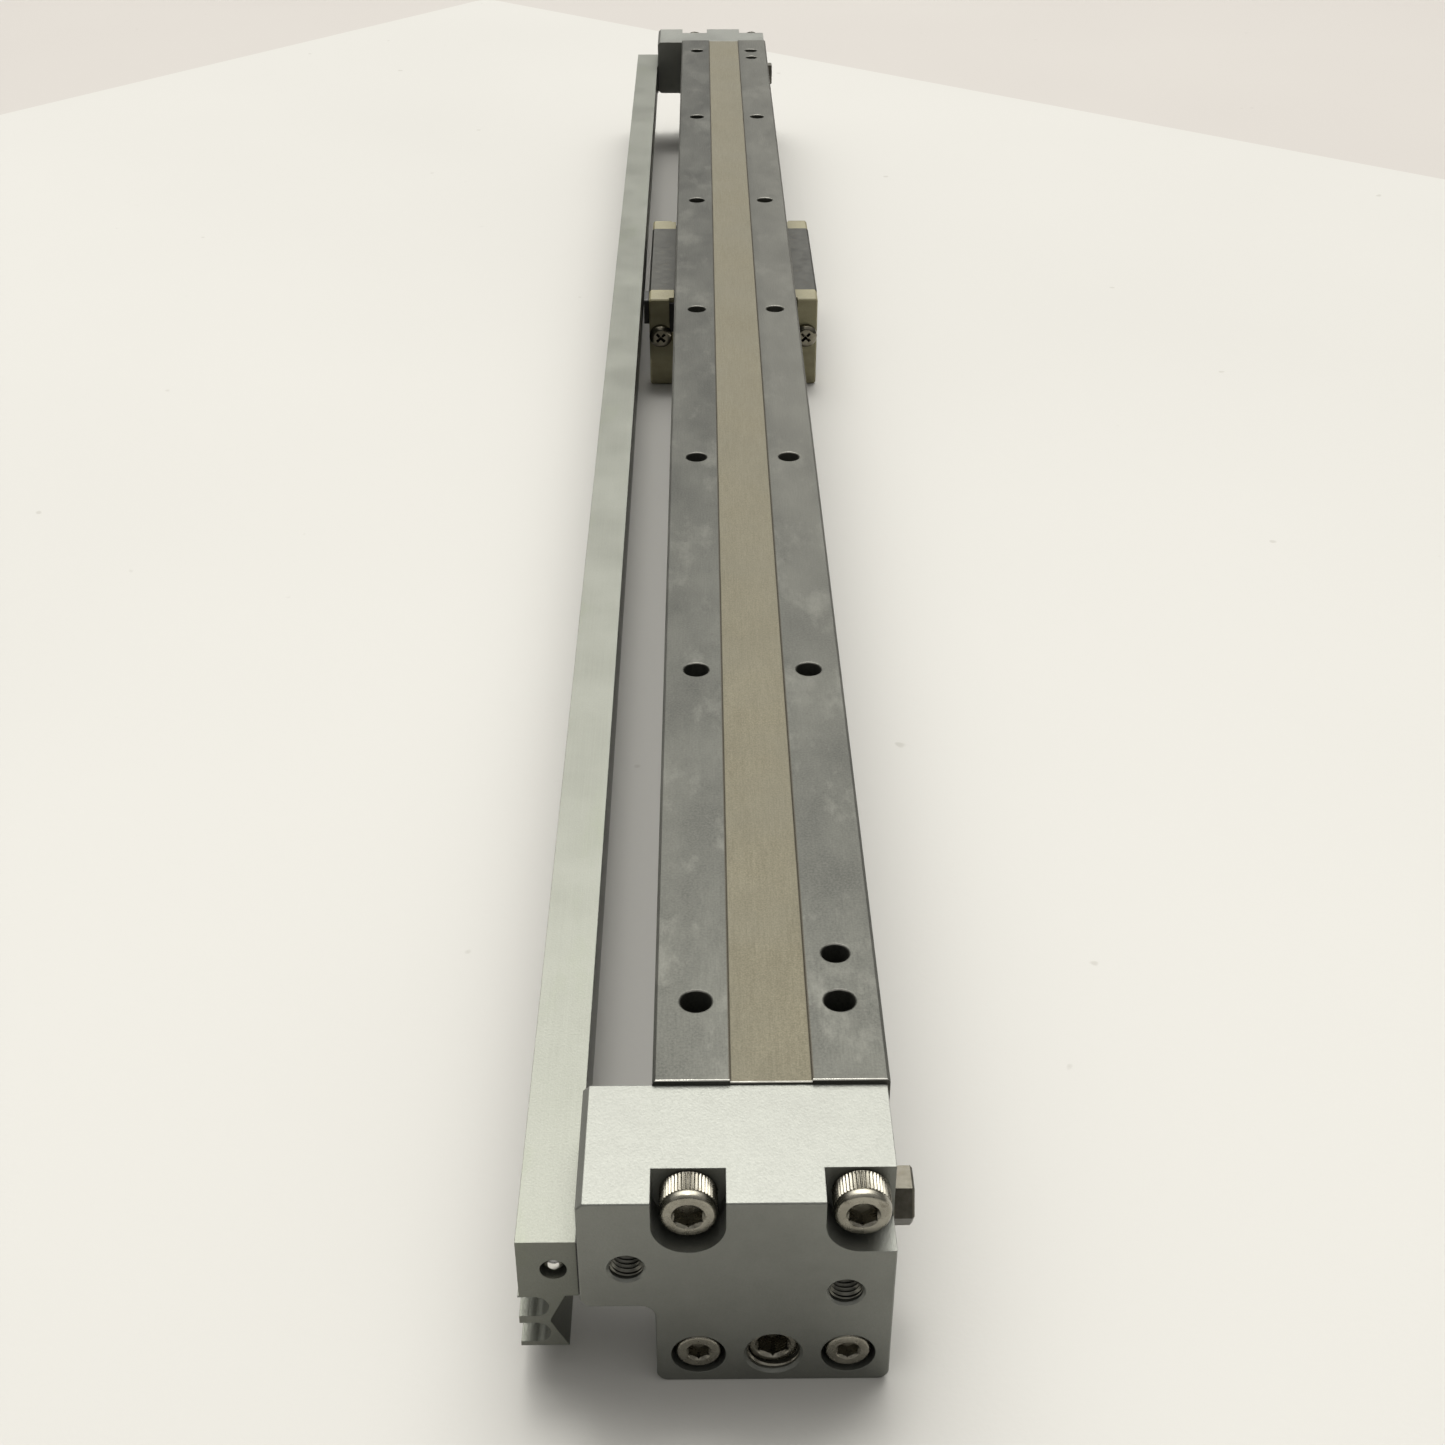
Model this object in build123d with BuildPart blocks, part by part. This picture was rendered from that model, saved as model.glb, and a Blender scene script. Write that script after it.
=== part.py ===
from build123d import *
import os
from math import cos, pi, sin

# Long-stroke guided slide: a magnetically coupled rodless air cylinder under a wide linear
# guide rail, with a carriage, two end blocks and a side rail for position switches.
#
# Millimetres.  The origin is the middle of the rail's mounting face.  +Z points out of that
# face, +Y runs along the rail from the piped end ("near") to the other end ("far"), and +X
# points away from the switch rail.  The cylinder and the table face are below, at negative Z.

# Guide rail
RAIL_WIDTH = 36.0
RAIL_HEIGHT = 22.0
RAIL_END = 317.85          # half the rail's length, where both end blocks begin
RELIEF_WIDTH = 12.5        # shallow relief between the two mounting lands
RELIEF_DEPTH = 0.4
RAIL_EDGE = 0.5
END_ROUND = 0.3            # worn top edges of the lands and of the relief at both ends
HOLE_SPACING = 22.8        # across the rail
HOLE_PITCH = 100.0         # along the rail
HOLE_ROWS = 7
HOLE_R = 2.5
HOLE_ROUND = 0.4
HEAD_POCKET_R = 4.0
HEAD_POCKET_DEPTH = 4.6
DOWEL_R = 2.25
DOWEL_Y = 288.5

# Ball tracks
BALL_R = 1.5
TRACK_R = 1.65
TRACK_X = 18.3
TRACK_Z = -17.5
RETURN_X = 23.2
RETURN_R = 1.62
BALL_COUNT = 40

# End blocks
BLOCK_OUTER = 341.43
BLOCK_LENGTH = BLOCK_OUTER - RAIL_END
BLOCK_TOP = -0.9
BLOCK_BOTTOM = -39.15
BLOCK_HALF = 17.5
WING_EDGE = 28.45
WING_BOTTOM = -22.4
WING_TOP_BEVEL = 1.0
BLOCK_CORNER = 1.7
WING_CORNER = 1.7
STEP_CORNER = 2.4
BLOCK_EDGE = 0.2

# Screws that hold the rail to the end blocks (M5)
RAIL_SCREW_X = 12.5
RAIL_SCREW_Z = -5.5
SLOT_R = 5.4
SLOT_DEPTH = 6.8
M5_CLEARANCE_R = 2.75
RAIL_SCREW_LENGTH = 25.0
RAIL_TAP_DEPTH = 10.0

# Air cylinder, on one axis below the rail
TUBE_Z = -33.2
TUBE_R = 3.5
TUBE_BORE_R = 3.0
TUBE_SOCKET = 4.0          # how far the tube enters each holder
HOLDER_WIDTH = 30.0
HOLDER_HEIGHT = 9.8
HOLDER_THICKNESS = 5.0
TUBE_SCREW_X = 11.2        # M4 screws that hold the tube holders
M4_CLEARANCE_R = 2.25
TUBE_SCREW_POCKET_R = 4.1
TUBE_SCREW_POCKET_DEPTH = 4.4
TUBE_SCREW_LENGTH = 18.0
ORING_WIRE_R = 0.42
ORING_GROOVE_R = 4.4
ORING_GROOVE_WIDTH = 1.1
BUMPER_R = 6.2
BUMPER_LENGTH = 5.0

# Air passages and ports (M5), and the axial plug (M8)
PORT_R = 2.5
PORT_MOUTH_R = 2.88
PORT_DEPTH = 9.0
PORT_PLUG_LENGTH = 5.0
PORT_PLUG_SOCKET = 2.5
SIDE_PORT_DEPTH = 6.0
MOUTH_ANGLE = 90.0
LEFT_PORT = (-21.54, -14.25)
RIGHT_PORT = (10.42, -19.7)
PASSAGE_R = 1.5
PASSAGE_Y = 326.0
PASSAGE_Z = -16.2
AXIS_PASSAGE_R = 2.0
PLUG_R = 4.0
PLUG_MOUTH_R = 4.45
PLUG_HOLE_DEPTH = 8.5
PLUG_LENGTH = 6.5
PLUG_SUNK = 1.5
PLUG_SOCKET = 5.0
SOCKET_SHARE = 0.6         # a socket's depth, as a share of its plug's length
PLUG_EDGE = 0.3
PORT_PLUG_SUNK = 0.5
SIDE_PLUG_HEX = 8.0
SIDE_PLUG_HEAD = 3.0
SIDE_PLUG_EDGE = 0.35
SIDE_PLUG_LENGTH = 5.5
WASHER_THICKNESS = 0.8
WASHER_R = 4.4

# Screws
M5_R = 2.5
M4_R = 2.0
THREAD_GAP = 0.05          # between a screw's thread and its hole, both drawn at full size
HEAD_EDGE_SHARE = 0.07     # a cap head's edge and socket depth, as shares of its thread size
HEAD_SOCKET_SHARE = 0.55
CAP_SCREW_HEADS = {2.0: (1.9, 1.5), 4.0: (3.5, 3.0), 5.0: (4.25, 4.0)}  # head radius, socket

# Switch rail
SWITCH_END = 339.1
SWITCH_INNER = -28.83
SWITCH_OUTER = -37.67
SWITCH_TOP = -11.15
SWITCH_WAIST = -22.6
SWITCH_BOTTOM = -33.7
SWITCH_LIP = -37.9
SWITCH_WAIST_LEDGE = 2.0   # the inner side's notch: widths of its ledges and its depth
SWITCH_BOTTOM_LEDGE = 1.8
SWITCH_NOTCH = 4.5
SWITCH_NOTCH_ROUND = 1.2
SWITCH_GROOVE_HEIGHT = 4.2
SWITCH_GROOVE_DEPTH = 4.6
SWITCH_GROOVES_Z = (-25.0, -30.7)
SWITCH_AIR = (-32.3, -16.9)
SEAL_BALL_R = 1.65
SEAL_BALL_SEAT_R = 2.0
SEAL_BALL_SEAT_DEPTH = 2.69
SEAL_BALL_SUNK = 0.35
GASKET_END = 318.6
SWITCH_SCREW_Z = -20.3
SWITCH_SCREW_Y = (-336.5, -320.9)
SWITCH_SCREW_POCKET_R = 2.0
SWITCH_SCREW_POCKET_DEPTH = 2.3
SWITCH_SCREW_LENGTH = 10.6
SWITCH_SCREW_R = 1.0
SWITCH_SCREW_HOLE_R = 1.1
SWITCH_TAP_DEPTH = 4.45

# Carriage
CARRIAGE_HALF_WIDTH = 26.75
CARRIAGE_TOP = -13.4
TABLE_Z = -42.0
CARRIAGE_Y = 81.2          # middle of the carriage along the rail
CARRIAGE_LENGTH = 76.0
END_PLATE = 8.5
LEG_INNER = 18.6
SADDLE_Z = -22.6           # carriage face that runs over the rail's underside
CARRIAGE_EDGE = 0.6
SLIDER_BORE_R = 7.05
TABLE_HOLE_X = 17.0
TABLE_HOLE_Y = 20.0
TABLE_HOLE_R = 2.0
TABLE_HOLE_DEPTH = 7.0
PLATE_SCREW = (23.0, -25.2)
PLATE_SCREW_HEAD_R = 3.6
PLATE_SCREW_HEAD = 2.4
PLATE_SCREW_LENGTH = 14.0
PLATE_TAP_DEPTH = 8.0
PLATE_INSET = 0.15         # end plates are this much smaller than the body all round
PLATE_FRONT_EDGE = 0.4
CROSS_LENGTH = 3.6
CROSS_WIDTH = 0.9
CROSS_DEPTH = 1.5
CROSS_TAPER = 12.0
CROSS_TURN = 45.0
PLATE_HEAD_ROUND = 1.44
WIPER_BAND = 1.5
WIPER_THICKNESS = 1.2
WIPER_SUNK = 0.3
WIPER_GAP = 0.25
HOLDER_Y = (45.5, 54.5)
HOLDER_Z = (-22.5, -14.5)
MAGNET_HOLDER_THICKNESS = 1.5
MAGNET_HOLDER_CORNER = 0.8
SWITCH_MAGNET_R = 2.5
SWITCH_MAGNET_THICKNESS = 1.0

# Magnet stacks: rings outside the tube pull a piston inside it
MAGNET_COUNT = 4
MAGNET_LENGTH = 8.0
YOKE_LENGTH = 3.0
STACK_LENGTH = MAGNET_COUNT * MAGNET_LENGTH + (MAGNET_COUNT + 1) * YOKE_LENGTH
OUTER_MAGNET_R = 7.0
OUTER_MAGNET_BORE_R = 4.0
WEAR_RING_LENGTH = 3.0
RETAINER_LENGTH = 2.0
INNER_MAGNET_R = 2.6
INNER_YOKE_R = 2.75
SHAFT_R = 1.0
PISTON_R = 2.85
PISTON_LENGTH = 6.5
PISTON_GROOVE_R = 2.2
SEAL_WIRE_R = 0.34
SEAL_GROOVE_WIDTH = 1.1
PISTON_LAND = 1.0          # between a piston's end and its grooves
PISTON_RING_WIDTH = 1.6
PISTON_RING_R = 2.94

RAIL_SCREWS = [(-RAIL_SCREW_X, RAIL_SCREW_Z), (RAIL_SCREW_X, RAIL_SCREW_Z)]
TUBE_SCREWS = [(-TUBE_SCREW_X, TUBE_Z), (TUBE_SCREW_X, TUBE_Z)]
ALONG_RAIL = (90, 0, 0)                       # turns a torus's axis to the rail's
NEAR_FACE = Plane.XZ.offset(BLOCK_OUTER)      # outer face of the near end block
RIGHT_FACE = Plane.YZ.offset(BLOCK_HALF)      # its right side
CARRIAGE_MIDDLE = Plane.XZ.offset(-CARRIAGE_Y)
TRACKS = [(-TRACK_X, TRACK_Z), (TRACK_X, TRACK_Z)]
RETURNS = [(-RETURN_X, TRACK_Z), (RETURN_X, TRACK_Z)]
PLATE_SCREWS = [(-PLATE_SCREW[0], PLATE_SCREW[1]), PLATE_SCREW]
CARRIAGE_NEAR = CARRIAGE_Y - CARRIAGE_LENGTH / 2
BODY_NEAR = CARRIAGE_NEAR + END_PLATE
BODY_LENGTH = CARRIAGE_LENGTH - 2 * END_PLATE


def write(piece, name):
    """Label one finished sub-part and write its STEP file."""
    piece.part.label = name
    export_step(piece.part, f"parts/{name}.step")


def write_pair(near, name, middle=Plane.XZ):
    """Write a near piece and its mirror image at the far end."""
    write(near, f"{name}_near")
    with BuildPart() as far:
        mirror(near.part, about=middle)
    write(far, f"{name}_far")


def swapped(spots):
    """The same spots for a plane whose two local axes are the other way round."""
    return [(second, first) for first, second in spots]


def nearest_corner(outline, x, z):
    """The corner of a sketch nearest to a spot, read afresh after each fillet."""
    return outline.vertices().sort_by_distance((x, z))[0]


def drill(face, spots, radius, depth):
    """Blind holes into the part being built, from spots on a face."""
    with Locations(face):
        with Locations(*spots):
            Hole(radius, depth)


def ring(plane, centre, outer, inner, length):
    """A plain ring that stands on a plane."""
    with BuildPart() as band:
        with BuildSketch(plane):
            with Locations(centre):
                Circle(outer)
                Circle(inner, mode=Mode.SUBTRACT)
        extrude(amount=length)
    return band


def cap_screws(seat, spots, size, length):
    """Socket-head cap screws of one thread size, their heads standing on the seat plane."""
    head_radius, socket_width = CAP_SCREW_HEADS[size]
    with BuildPart() as screws:
        with BuildSketch(seat):
            with Locations(*spots):
                Circle(head_radius)
        extrude(amount=size)
        rims = screws.edges().group_by(Axis(seat.origin, seat.z_dir))[-1]
        chamfer(rims, HEAD_EDGE_SHARE * size)
        with BuildSketch(seat.offset(size)):
            with Locations(*spots):
                RegularPolygon(socket_width / 2, 6, major_radius=False)
        extrude(amount=-HEAD_SOCKET_SHARE * size, mode=Mode.SUBTRACT)
        with BuildSketch(seat):
            with Locations(*spots):
                Circle(size / 2 - THREAD_GAP)
        extrude(amount=-length)
    return screws


# ---------------------------------------------------------------- guide rail


def make_rail():
    with BuildPart() as rail:
        with BuildSketch(Plane.XZ) as section:
            with Locations((0, -RAIL_HEIGHT / 2)):
                Rectangle(RAIL_WIDTH, RAIL_HEIGHT)
            chamfer(section.vertices(), RAIL_EDGE)
            Rectangle(RELIEF_WIDTH, 2 * RELIEF_DEPTH, mode=Mode.SUBTRACT)
            with Locations((-TRACK_X, TRACK_Z), (TRACK_X, TRACK_Z)):
                Circle(TRACK_R, mode=Mode.SUBTRACT)
        extrude(amount=RAIL_END, both=True)
        top_ends = rail.edges().filter_by(Axis.X).group_by(Axis.Z)[-2:]
        fillet(top_ends[0] + top_ends[1], END_ROUND)
        underside = Plane(origin=(0, 0, -RAIL_HEIGHT), x_dir=(1, 0, 0), z_dir=(0, 0, -1))
        with Locations(underside):
            with GridLocations(HOLE_SPACING, HOLE_PITCH, 2, HOLE_ROWS):
                CounterBoreHole(HOLE_R, HEAD_POCKET_R, HEAD_POCKET_DEPTH, RAIL_HEIGHT)
        dowels = [(HOLE_SPACING / 2, DOWEL_Y), (HOLE_SPACING / 2, -DOWEL_Y)]
        drill(Plane.XY, dowels, DOWEL_R, RAIL_HEIGHT)
        mouths = rail.edges().filter_by(GeomType.CIRCLE).group_by(Axis.Z)[-1]
        fillet(mouths, HOLE_ROUND)
        drill(Plane.XZ.offset(RAIL_END), RAIL_SCREWS, M5_R, RAIL_TAP_DEPTH)
        drill(Plane.ZX.offset(RAIL_END), swapped(RAIL_SCREWS), M5_R, RAIL_TAP_DEPTH)
    write(rail, "rail")


# ---------------------------------------------------------------- end blocks


def end_block(cross_passage):
    """The near end block; its wing's cross passage has the given depth."""
    with BuildPart() as block:
        with BuildSketch(NEAR_FACE) as outline:
            with BuildLine():
                Polyline(
                    (BLOCK_HALF, BLOCK_TOP),
                    (BLOCK_HALF, BLOCK_BOTTOM),
                    (-BLOCK_HALF, BLOCK_BOTTOM),
                    (-BLOCK_HALF, WING_BOTTOM),
                    (-WING_EDGE, WING_BOTTOM),
                    (-WING_EDGE, BLOCK_TOP),
                    close=True,
                )
            make_face()
            fillet(outline.vertices().group_by(Axis.Y)[0], BLOCK_CORNER)
            fillet(nearest_corner(outline, -WING_EDGE, WING_BOTTOM), WING_CORNER)
            fillet(nearest_corner(outline, -BLOCK_HALF, WING_BOTTOM), STEP_CORNER)
            chamfer(nearest_corner(outline, -WING_EDGE, BLOCK_TOP), WING_TOP_BEVEL)
        extrude(amount=-BLOCK_LENGTH)
        chamfer(block.faces().sort_by(Axis.Y)[0].edges(), BLOCK_EDGE)

        # Slots for the rail screws' heads, open at the top; the right one is open at the side
        with BuildSketch(NEAR_FACE):
            with Locations(*RAIL_SCREWS):
                Circle(SLOT_R)
                with Locations((0, SLOT_R)):
                    Rectangle(2 * SLOT_R, 2 * SLOT_R)
            with Locations((RAIL_SCREW_X + SLOT_R, RAIL_SCREW_Z)):
                Rectangle(2 * SLOT_R, 2 * SLOT_R)
        extrude(amount=-SLOT_DEPTH, mode=Mode.SUBTRACT)
        drill(NEAR_FACE, RAIL_SCREWS, M5_CLEARANCE_R, BLOCK_LENGTH)

        # Pocket for the tube holder in the inner face, and its two screws
        with BuildSketch(Plane.XZ.offset(RAIL_END)):
            with Locations((0, TUBE_Z)):
                SlotOverall(HOLDER_WIDTH + 2 * THREAD_GAP, HOLDER_HEIGHT + 2 * THREAD_GAP)
        extrude(amount=HOLDER_THICKNESS, mode=Mode.SUBTRACT)
        with Locations(NEAR_FACE):
            with Locations(*TUBE_SCREWS):
                CounterBoreHole(
                    M4_CLEARANCE_R,
                    TUBE_SCREW_POCKET_R,
                    TUBE_SCREW_POCKET_DEPTH,
                    BLOCK_LENGTH,
                )

        # Axial plug, ports and air passages
        with Locations(NEAR_FACE):
            with Locations((0, TUBE_Z)):
                CounterSinkHole(PLUG_R, PLUG_MOUTH_R, PLUG_HOLE_DEPTH, MOUTH_ANGLE)
            with Locations(LEFT_PORT, RIGHT_PORT):
                CounterSinkHole(PORT_R, PORT_MOUTH_R, PORT_DEPTH, MOUTH_ANGLE)
        drill(NEAR_FACE, [(0, TUBE_Z)], AXIS_PASSAGE_R, BLOCK_LENGTH)
        drill(NEAR_FACE, [LEFT_PORT, RIGHT_PORT], PASSAGE_R, BLOCK_OUTER - PASSAGE_Y)
        drill(RIGHT_FACE, [(-PASSAGE_Y, PASSAGE_Z)], PORT_R, SIDE_PORT_DEPTH)
        drill(RIGHT_FACE, [(-PASSAGE_Y, PASSAGE_Z)], PASSAGE_R, BLOCK_HALF)
        with BuildSketch(Plane.XY.offset(PASSAGE_Z)):
            with Locations((0, -PASSAGE_Y)):
                Circle(PASSAGE_R)
        extrude(amount=TUBE_Z - PASSAGE_Z, mode=Mode.SUBTRACT)
        wing_face = Plane.ZY.offset(WING_EDGE)
        drill(wing_face, [(PASSAGE_Z, -PASSAGE_Y)], PASSAGE_R, cross_passage)
        taps = [(SWITCH_SCREW_Z, y) for y in SWITCH_SCREW_Y]
        drill(wing_face, taps, SWITCH_SCREW_R, SWITCH_TAP_DEPTH)
    return block


def make_end_blocks():
    near = end_block(WING_EDGE + LEFT_PORT[0])
    write(near, "end_block_near")
    piped_through = end_block(WING_EDGE)
    with BuildPart() as far:
        mirror(piped_through.part, about=Plane.XZ)
    write(far, "end_block_far")


def make_block_fittings():
    rail_seat = NEAR_FACE.offset(-SLOT_DEPTH)
    write_pair(cap_screws(rail_seat, RAIL_SCREWS, 5.0, RAIL_SCREW_LENGTH), "rail_screws")
    tube_seat = NEAR_FACE.offset(-TUBE_SCREW_POCKET_DEPTH)
    write_pair(cap_screws(tube_seat, TUBE_SCREWS, 4.0, TUBE_SCREW_LENGTH), "tube_screws")

    plug_face = NEAR_FACE.offset(-PLUG_SUNK)
    axis_plug = socket_plugs(plug_face, [(0, TUBE_Z)], PLUG_R, PLUG_LENGTH, PLUG_SOCKET)
    write_pair(axis_plug, "axis_plug")

    # The far block's own ports are closed; air reaches it through the switch rail
    closed = socket_plugs(
        NEAR_FACE.offset(-PORT_PLUG_SUNK),
        [LEFT_PORT, RIGHT_PORT],
        PORT_R,
        PORT_PLUG_LENGTH,
        PORT_PLUG_SOCKET,
    )
    with BuildPart() as port_plugs:
        mirror(closed.part, about=Plane.XZ)
    write(port_plugs, "port_plugs_far")

    side_spot = (-PASSAGE_Y, PASSAGE_Z)
    washer = ring(RIGHT_FACE, side_spot, WASHER_R, PORT_R, WASHER_THICKNESS)
    write_pair(washer, "side_plug_washer")
    head_face = RIGHT_FACE.offset(WASHER_THICKNESS)
    with BuildPart() as side_plug:
        with BuildSketch(head_face):
            with Locations(side_spot):
                RegularPolygon(SIDE_PLUG_HEX / 2, 6, major_radius=False)
        extrude(amount=SIDE_PLUG_HEAD)
        chamfer(side_plug.faces().sort_by(Axis.X)[-1].edges(), SIDE_PLUG_EDGE)
        with BuildSketch(head_face):
            with Locations(side_spot):
                Circle(PORT_R - THREAD_GAP)
        extrude(amount=-SIDE_PLUG_LENGTH)
    write_pair(side_plug, "side_plug")


def socket_plugs(face, spots, radius, length, socket_width):
    """Headless plugs with a hexagon socket, sunk from a plane."""
    with BuildPart() as plugs:
        with BuildSketch(face):
            with Locations(*spots):
                Circle(radius - THREAD_GAP)
        extrude(amount=-length)
        chamfer(plugs.edges().group_by(Axis(face.origin, face.z_dir))[-1], PLUG_EDGE)
        with BuildSketch(face):
            with Locations(*spots):
                RegularPolygon(socket_width / 2, 6, major_radius=False)
        extrude(amount=-SOCKET_SHARE * length, mode=Mode.SUBTRACT)
    return plugs


# ---------------------------------------------------------------- air cylinder, fixed parts


def make_cylinder():
    with BuildPart() as tube:
        with BuildSketch(Plane.XZ):
            with Locations((0, TUBE_Z)):
                Circle(TUBE_R)
                Circle(TUBE_BORE_R, mode=Mode.SUBTRACT)
        extrude(amount=RAIL_END + TUBE_SOCKET, both=True)
    write(tube, "cylinder_tube")

    inner_face = Plane.XZ.offset(RAIL_END)
    groove_start = inner_face.offset(TUBE_SOCKET / 2 + ORING_GROOVE_WIDTH / 2)
    with BuildPart() as holder:
        with BuildSketch(inner_face):
            with Locations((0, TUBE_Z)):
                SlotOverall(HOLDER_WIDTH, HOLDER_HEIGHT)
            with Locations(*TUBE_SCREWS):
                Circle(M4_R, mode=Mode.SUBTRACT)
            with Locations((0, TUBE_Z)):
                Circle(AXIS_PASSAGE_R, mode=Mode.SUBTRACT)
        extrude(amount=HOLDER_THICKNESS)
        with BuildSketch(inner_face):
            with Locations((0, TUBE_Z)):
                Circle(TUBE_R)
        extrude(amount=TUBE_SOCKET, mode=Mode.SUBTRACT)
        with BuildSketch(groove_start):
            with Locations((0, TUBE_Z)):
                Circle(ORING_GROOVE_R)
        extrude(amount=-ORING_GROOVE_WIDTH, mode=Mode.SUBTRACT)
    write_pair(holder, "tube_holder")

    oring_y = RAIL_END + TUBE_SOCKET / 2
    with BuildPart() as orings:
        with Locations((0, -oring_y, TUBE_Z), (0, oring_y, TUBE_Z)):
            Torus(TUBE_R + ORING_WIRE_R, ORING_WIRE_R, rotation=ALONG_RAIL)
    write(orings, "tube_orings")

    bumper_face = Plane.XZ.offset(RAIL_END - BUMPER_LENGTH)
    bumper = ring(bumper_face, (0, TUBE_Z), BUMPER_R, TUBE_R, BUMPER_LENGTH)
    write_pair(bumper, "bumper")


# ---------------------------------------------------------------- switch rail


def make_switch_rail():
    notch_x = SWITCH_INNER - SWITCH_NOTCH
    notch_z = (SWITCH_WAIST + SWITCH_BOTTOM) / 2
    with BuildPart() as rail:
        with BuildSketch(Plane.XZ) as section:
            with BuildLine():
                Polyline(
                    (SWITCH_OUTER, SWITCH_TOP),
                    (SWITCH_INNER, SWITCH_TOP),
                    (SWITCH_INNER, SWITCH_WAIST),
                    (SWITCH_INNER - SWITCH_WAIST_LEDGE, SWITCH_WAIST),
                    (notch_x, notch_z),
                    (SWITCH_INNER - SWITCH_BOTTOM_LEDGE, SWITCH_BOTTOM),
                    (SWITCH_LIP, SWITCH_BOTTOM),
                    (SWITCH_LIP, SWITCH_WAIST),
                    (SWITCH_OUTER, SWITCH_WAIST),
                    close=True,
                )
            make_face()
            fillet(nearest_corner(section, notch_x, notch_z), SWITCH_NOTCH_ROUND)
            groove_end_r = SWITCH_GROOVE_HEIGHT / 2
            groove_end = SWITCH_LIP + SWITCH_GROOVE_DEPTH - groove_end_r
            for groove_z in SWITCH_GROOVES_Z:
                with Locations((groove_end, groove_z)):
                    Circle(groove_end_r, mode=Mode.SUBTRACT)
                with Locations((groove_end - groove_end_r * 2, groove_z)):
                    Rectangle(4 * groove_end_r, SWITCH_GROOVE_HEIGHT, mode=Mode.SUBTRACT)
            with Locations(SWITCH_AIR):
                Circle(PASSAGE_R, mode=Mode.SUBTRACT)
        extrude(amount=SWITCH_END, both=True)
        near_end = Plane.XZ.offset(SWITCH_END)
        far_end = Plane.ZX.offset(SWITCH_END)
        drill(near_end, [SWITCH_AIR], SEAL_BALL_SEAT_R, SEAL_BALL_SEAT_DEPTH)
        drill(far_end, swapped([SWITCH_AIR]), SEAL_BALL_SEAT_R, SEAL_BALL_SEAT_DEPTH)
        depth = SWITCH_INNER - SWITCH_AIR[0]
        sides = [(-PASSAGE_Y, PASSAGE_Z), (PASSAGE_Y, PASSAGE_Z)]
        drill(Plane.YZ.offset(SWITCH_INNER), sides, PASSAGE_R, depth)
        screw_spots = [(SWITCH_SCREW_Z, s * y) for y in SWITCH_SCREW_Y for s in (1, -1)]
        with Locations(Plane.ZY.offset(-SWITCH_OUTER)):
            with Locations(*screw_spots):
                CounterBoreHole(
                    SWITCH_SCREW_HOLE_R,
                    SWITCH_SCREW_POCKET_R,
                    SWITCH_SCREW_POCKET_DEPTH,
                    SWITCH_INNER - SWITCH_OUTER,
                )
    write(rail, "switch_rail")

    ball_y = SWITCH_END - SEAL_BALL_SUNK - SEAL_BALL_R
    with BuildPart() as ball:
        with Locations((SWITCH_AIR[0], -ball_y, SWITCH_AIR[1])):
            Sphere(SEAL_BALL_R)
    write_pair(ball, "passage_ball")

    with BuildPart() as gasket:
        with BuildSketch(Plane.YZ.offset(SWITCH_INNER)):
            with Locations((-(SWITCH_END + GASKET_END) / 2, (SWITCH_TOP + WING_BOTTOM) / 2)):
                Rectangle(SWITCH_END - GASKET_END, SWITCH_TOP - WING_BOTTOM)
            with Locations((-PASSAGE_Y, PASSAGE_Z)):
                Circle(PASSAGE_R, mode=Mode.SUBTRACT)
            with Locations(*[(y, SWITCH_SCREW_Z) for y in SWITCH_SCREW_Y]):
                Circle(SWITCH_SCREW_HOLE_R, mode=Mode.SUBTRACT)
        extrude(amount=-WING_EDGE - SWITCH_INNER)
    write_pair(gasket, "switch_rail_gasket")

    seat = Plane.ZY.offset(-SWITCH_OUTER - SWITCH_SCREW_POCKET_DEPTH)
    spots = [(SWITCH_SCREW_Z, y) for y in SWITCH_SCREW_Y]
    screws = cap_screws(seat, spots, 2 * SWITCH_SCREW_R, SWITCH_SCREW_LENGTH)
    write_pair(screws, "switch_rail_screws")


# ---------------------------------------------------------------- carriage


def saddle_section(half_width, leg_inner, saddle_z, table_z, edge):
    """The carriage's section: a thick table with a leg on each side of the rail."""
    with BuildSketch(Plane.XZ) as section:
        with BuildLine():
            Polyline(
                (-half_width, CARRIAGE_TOP),
                (-leg_inner, CARRIAGE_TOP),
                (-leg_inner, saddle_z),
                (leg_inner, saddle_z),
                (leg_inner, CARRIAGE_TOP),
                (half_width, CARRIAGE_TOP),
                (half_width, table_z),
                (-half_width, table_z),
                close=True,
            )
        make_face()
        sides = section.vertices().group_by(Axis.X)
        chamfer(sides[0] + sides[-1], edge)
    return section.sketch


def make_carriage_body():
    section = saddle_section(CARRIAGE_HALF_WIDTH, LEG_INNER, SADDLE_Z, TABLE_Z, CARRIAGE_EDGE)
    near = Plane.XZ.offset(-BODY_NEAR)
    far = Plane.ZX.offset(BODY_NEAR + BODY_LENGTH)
    table = Plane(origin=(0, CARRIAGE_Y, TABLE_Z), x_dir=(1, 0, 0), z_dir=(0, 0, -1))
    with BuildPart() as body:
        extrude(section.moved(Location((0, BODY_NEAR, 0))), amount=-BODY_LENGTH)
        drill(near, RETURNS, RETURN_R, BODY_LENGTH)
        drill(near, TRACKS, TRACK_R, BODY_LENGTH)
        drill(near, [(0, TUBE_Z)], SLIDER_BORE_R, BODY_LENGTH)
        drill(near, PLATE_SCREWS, M4_R, PLATE_TAP_DEPTH)
        drill(far, swapped(PLATE_SCREWS), M4_R, PLATE_TAP_DEPTH)
        with Locations(table):
            with GridLocations(2 * TABLE_HOLE_X, 2 * TABLE_HOLE_Y, 2, 2):
                Hole(TABLE_HOLE_R, TABLE_HOLE_DEPTH)
    write(body, "carriage_body")


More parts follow.
